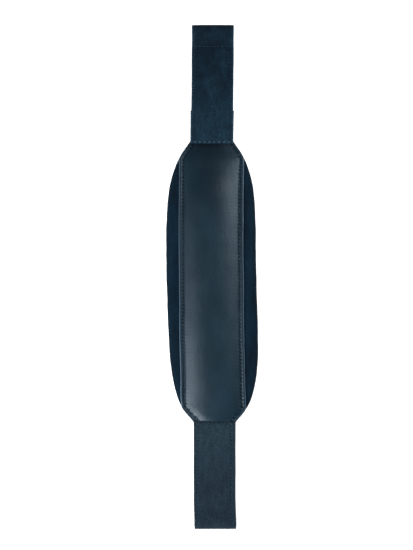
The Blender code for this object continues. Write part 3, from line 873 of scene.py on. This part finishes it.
def stitches(node, path, pitch, thread, body):
    """The stitches that stand for one thread of a seam. Those on the pad ride on its body; those on a
    tab are not attached to one. Each takes up 0.6 of the pitch."""
    name = node.replace("_thread", "_stitches")
    points = np.asarray(path, float)
    points[:, 0] += lean(points[:, 1])
    mesh = bpy.data.meshes.new(name)
    mesh.from_pydata(points.tolist(), [(i, i + 1) for i in range(len(points) - 1)], [])
    made = finished(name, mesh)
    sewing = made.modifiers.new("Sewing", "NODES")
    sewing.node_group = STITCHES
    values = {
        "Pitch": pitch,
        "Stitch length": pitch * 0.6,
        "Thread thickness": THREAD,
        "Slant": 0.16,
        "Seed": len(node),
        "Thread": thread,
    }
    for item in STITCHES.interface.items_tree:
        if item.in_out == "INPUT" and item.name in values:
            sewing[item.identifier] = values[item.name]
    plain_mesh(made)
    if body in ("upper_tab", "lower_tab"):
        turn_at(made)
    else:
        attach(made, body)
    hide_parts(node)
    return made


def panel_seam_paths(side):
    """(needle, bobbin) paths down one edge of the panel, from the lower end to the upper."""
    y = np.arange(-109.0 * MM, 109.3 * MM, 0.5 * MM)
    x = panel_half(y) - SEAM_IN * inset_scale(y)
    z = panel_top(y, x, np.full_like(y, SEAM_IN)) + 0.24 * MM
    under = 2.3 * MM * pinch(y) + 0.1 * MM
    x = side * x + panel_shift(y)
    return np.stack([x, y, z], 1), np.stack([x, y, under], 1)


def on_strap(side, s, x, z):
    """Points at distances s past a tab's hinge line."""
    return np.stack(np.broadcast_arrays(x, side * (HINGE_Y + s), z), 1)


def tab_surface(s, side):
    """The heights of the upper ply's two faces, and of the lower ply's outer face."""
    middle = upper_ply_height(s, side)
    return middle + LEATHER / 2, middle - LEATHER / 2, lower_ply_height(s) - LEATHER / 2


# How far a tab's stitches are drawn into the leather, measured to the thread's middle
SUNK = 0.02 * MM
BOBBIN_SUNK = 0.1 * MM


def tab_seams(end, side, seam_in, hem_thread, side_thread):
    """All of a tab's seams: the hem across its root, its sides and the upper one's loop seam."""
    tab = end + "_tab"
    hem, stop = HEM_SEAM[side], SIDE_STOP[side]
    reach = TAB_HALF - seam_in - 1.0 * MM
    across = np.linspace(-reach, reach, 40)
    crossings = [("hem", hem, HEM_PITCH, hem_thread)]
    if side > 0:
        crossings.append(("loop", stop, PITCH, NAVY_THREAD))
    for word, s, pitch, thread in crossings:
        over, _, under = tab_surface(np.full_like(across, s), side)
        for kind, z in (("needle", over - SUNK), ("bobbin", under + BOBBIN_SUNK)):
            path = on_strap(side, s, across, z)
            stitches(f"{end}_{word}_seam_{kind}_thread", path, pitch, thread, tab)
    s = np.arange(hem + PITCH / 2, stop - 0.9 * MM, 0.5 * MM)
    over, under_top, under = tab_surface(s, side)
    below = under if side > 0 else under_top
    for hand, word in ((-1, "left"), (1, "right")):
        x = hand * (TAB_HALF - seam_in)
        for kind, z in (("needle", over - SUNK), ("bobbin", below + BOBBIN_SUNK)):
            path = on_strap(side, s, x, z)
            stitches(f"{end}_side_seam_{word}_{kind}_thread", path, PITCH, side_thread, tab)


# ---------------------------------------------------------------- the room


def floor():
    mesh = bpy.data.meshes.new("table")
    reach, low = 12.0, -0.25 * MM
    corners = [(-reach, -reach, low), (reach, -reach, low), (reach, reach, low), (-reach, reach, low)]
    mesh.from_pydata(corners, [], [(0, 1, 2, 3)])
    values = {"Base Color": srgb("F4F4F4"), "Roughness": 0.9, "Specular IOR Level": 0.1}
    look, _, shader = new_material("white table", values)
    shader.inputs["Emission Color"].default_value = srgb("FFFFFF")
    shader.inputs["Emission Strength"].default_value = 0.75
    mesh.materials.append(look)
    finished("table", mesh)


def softbox(name, place, target, width, height, power):
    lamp = bpy.data.lights.new(name, "AREA")
    lamp.shape = "RECTANGLE"
    lamp.size, lamp.size_y, lamp.energy = width, height, power
    made = finished(name, lamp)
    made.location = place
    made.rotation_euler = (Vector(target) - Vector(place)).to_track_quat("-Z", "Y").to_euler()
    return made


def lights():
    """Two big softboxes low beyond the strap's ends, two strips for the gloss on the crown's upper right
    and one for its lower left, and a weak softbox overhead for the gloss of the lower half."""
    softbox("north softbox", (0, 1.7, 0.75), (0, 0, 0), 2.4, 1.0, 3.5)
    softbox("south softbox", (0, -1.7, 0.75), (0, 0, 0), 2.4, 1.0, 16)
    softbox("right strip", (0.36, 0.19, 0.42), (0, 0.14, 0), 0.18, 0.2, 1.8)
    softbox("upper right strip", (0.2, 0.22, 0.5), (0.02, 0.095, 0), 0.1, 0.1, 0.42)
    softbox("left strip", (-0.36, -0.27, 0.42), (0, -0.17, 0), 0.26, 0.24, 4.3)
    softbox("overhead softbox", (0, -0.45, 1.3), (0, -0.35, 0), 0.7, 0.8, 0.24)
    studio()


def studio():
    """A dim room for the strap's gloss, and a pale backdrop where the camera looks past the table."""
    world = bpy.data.worlds.new("studio")
    world.use_nodes = True
    tree = world.node_tree
    room = tree.nodes["Background"]
    room.inputs["Color"].default_value = srgb("EEF2F6")
    room.inputs["Strength"].default_value = 0.07
    backdrop = add(tree, "ShaderNodeBackground", None, {"Color": srgb("F8F9FA"), "Strength": 1.0})
    seen = add(tree, "ShaderNodeLightPath").outputs["Is Camera Ray"]
    links = {0: seen, 1: room.outputs[0], 2: backdrop.outputs[0]}
    shown = add(tree, "ShaderNodeMixShader", links)
    tree.links.new(shown.outputs[0], tree.nodes["World Output"].inputs["Surface"])
    bpy.context.scene.world = world


def camera():
    """Straight down from two metres, with a long lens that takes in 440 mm of the strap."""
    data = bpy.data.cameras.new("camera")
    data.sensor_width = 36.0
    height, field = 2.0, 0.439
    data.lens = data.sensor_width * height / field
    made = finished("camera", data)
    made.location = (-5.2 * MM, 6.4 * MM, height + 8 * MM)
    bpy.context.scene.camera = made


# ---------------------------------------------------------------- putting it together


def build():
    pad_cushion()
    crown_stuffing()
    pad_cover()
    pad_lining()
    panel_half_piece("leather_panel_upper_half", 1)
    panel_half_piece("leather_panel_lower_half", -1)
    load_tape("load_tape_upper_half", 1)
    load_tape("load_tape_lower_half", -1)
    upper = ("upper_tab", "upper_tab_leather", SUEDE, "suede_leather")
    lower = ("lower_tab", "lower_tab_leather", NUBUCK, "nubuck_leather")
    tab_strap("upper_tab_strap", 1, *upper, UPPER_SEAM_IN, 0)
    tab_strap("lower_tab_strap", -1, *lower, LOWER_SEAM_IN, TAB_TUCK)
    for side, word in ((-1, "left"), (1, "right")):
        needle, bobbin = panel_seam_paths(side)
        stitches(f"panel_seam_{word}_needle_thread", needle, PITCH, NAVY_THREAD, "pad")
        stitches(f"panel_seam_{word}_bobbin_thread", bobbin, PITCH, NAVY_THREAD, "pad")
    tab_seams("upper", 1, UPPER_SEAM_IN, PALE_THREAD, DARK_THREAD)
    tab_seams("lower", -1, LOWER_SEAM_IN, NAVY_THREAD, NAVY_THREAD)


build()
floor()
lights()
camera()
bpy.context.scene.view_settings.view_transform = "Standard"
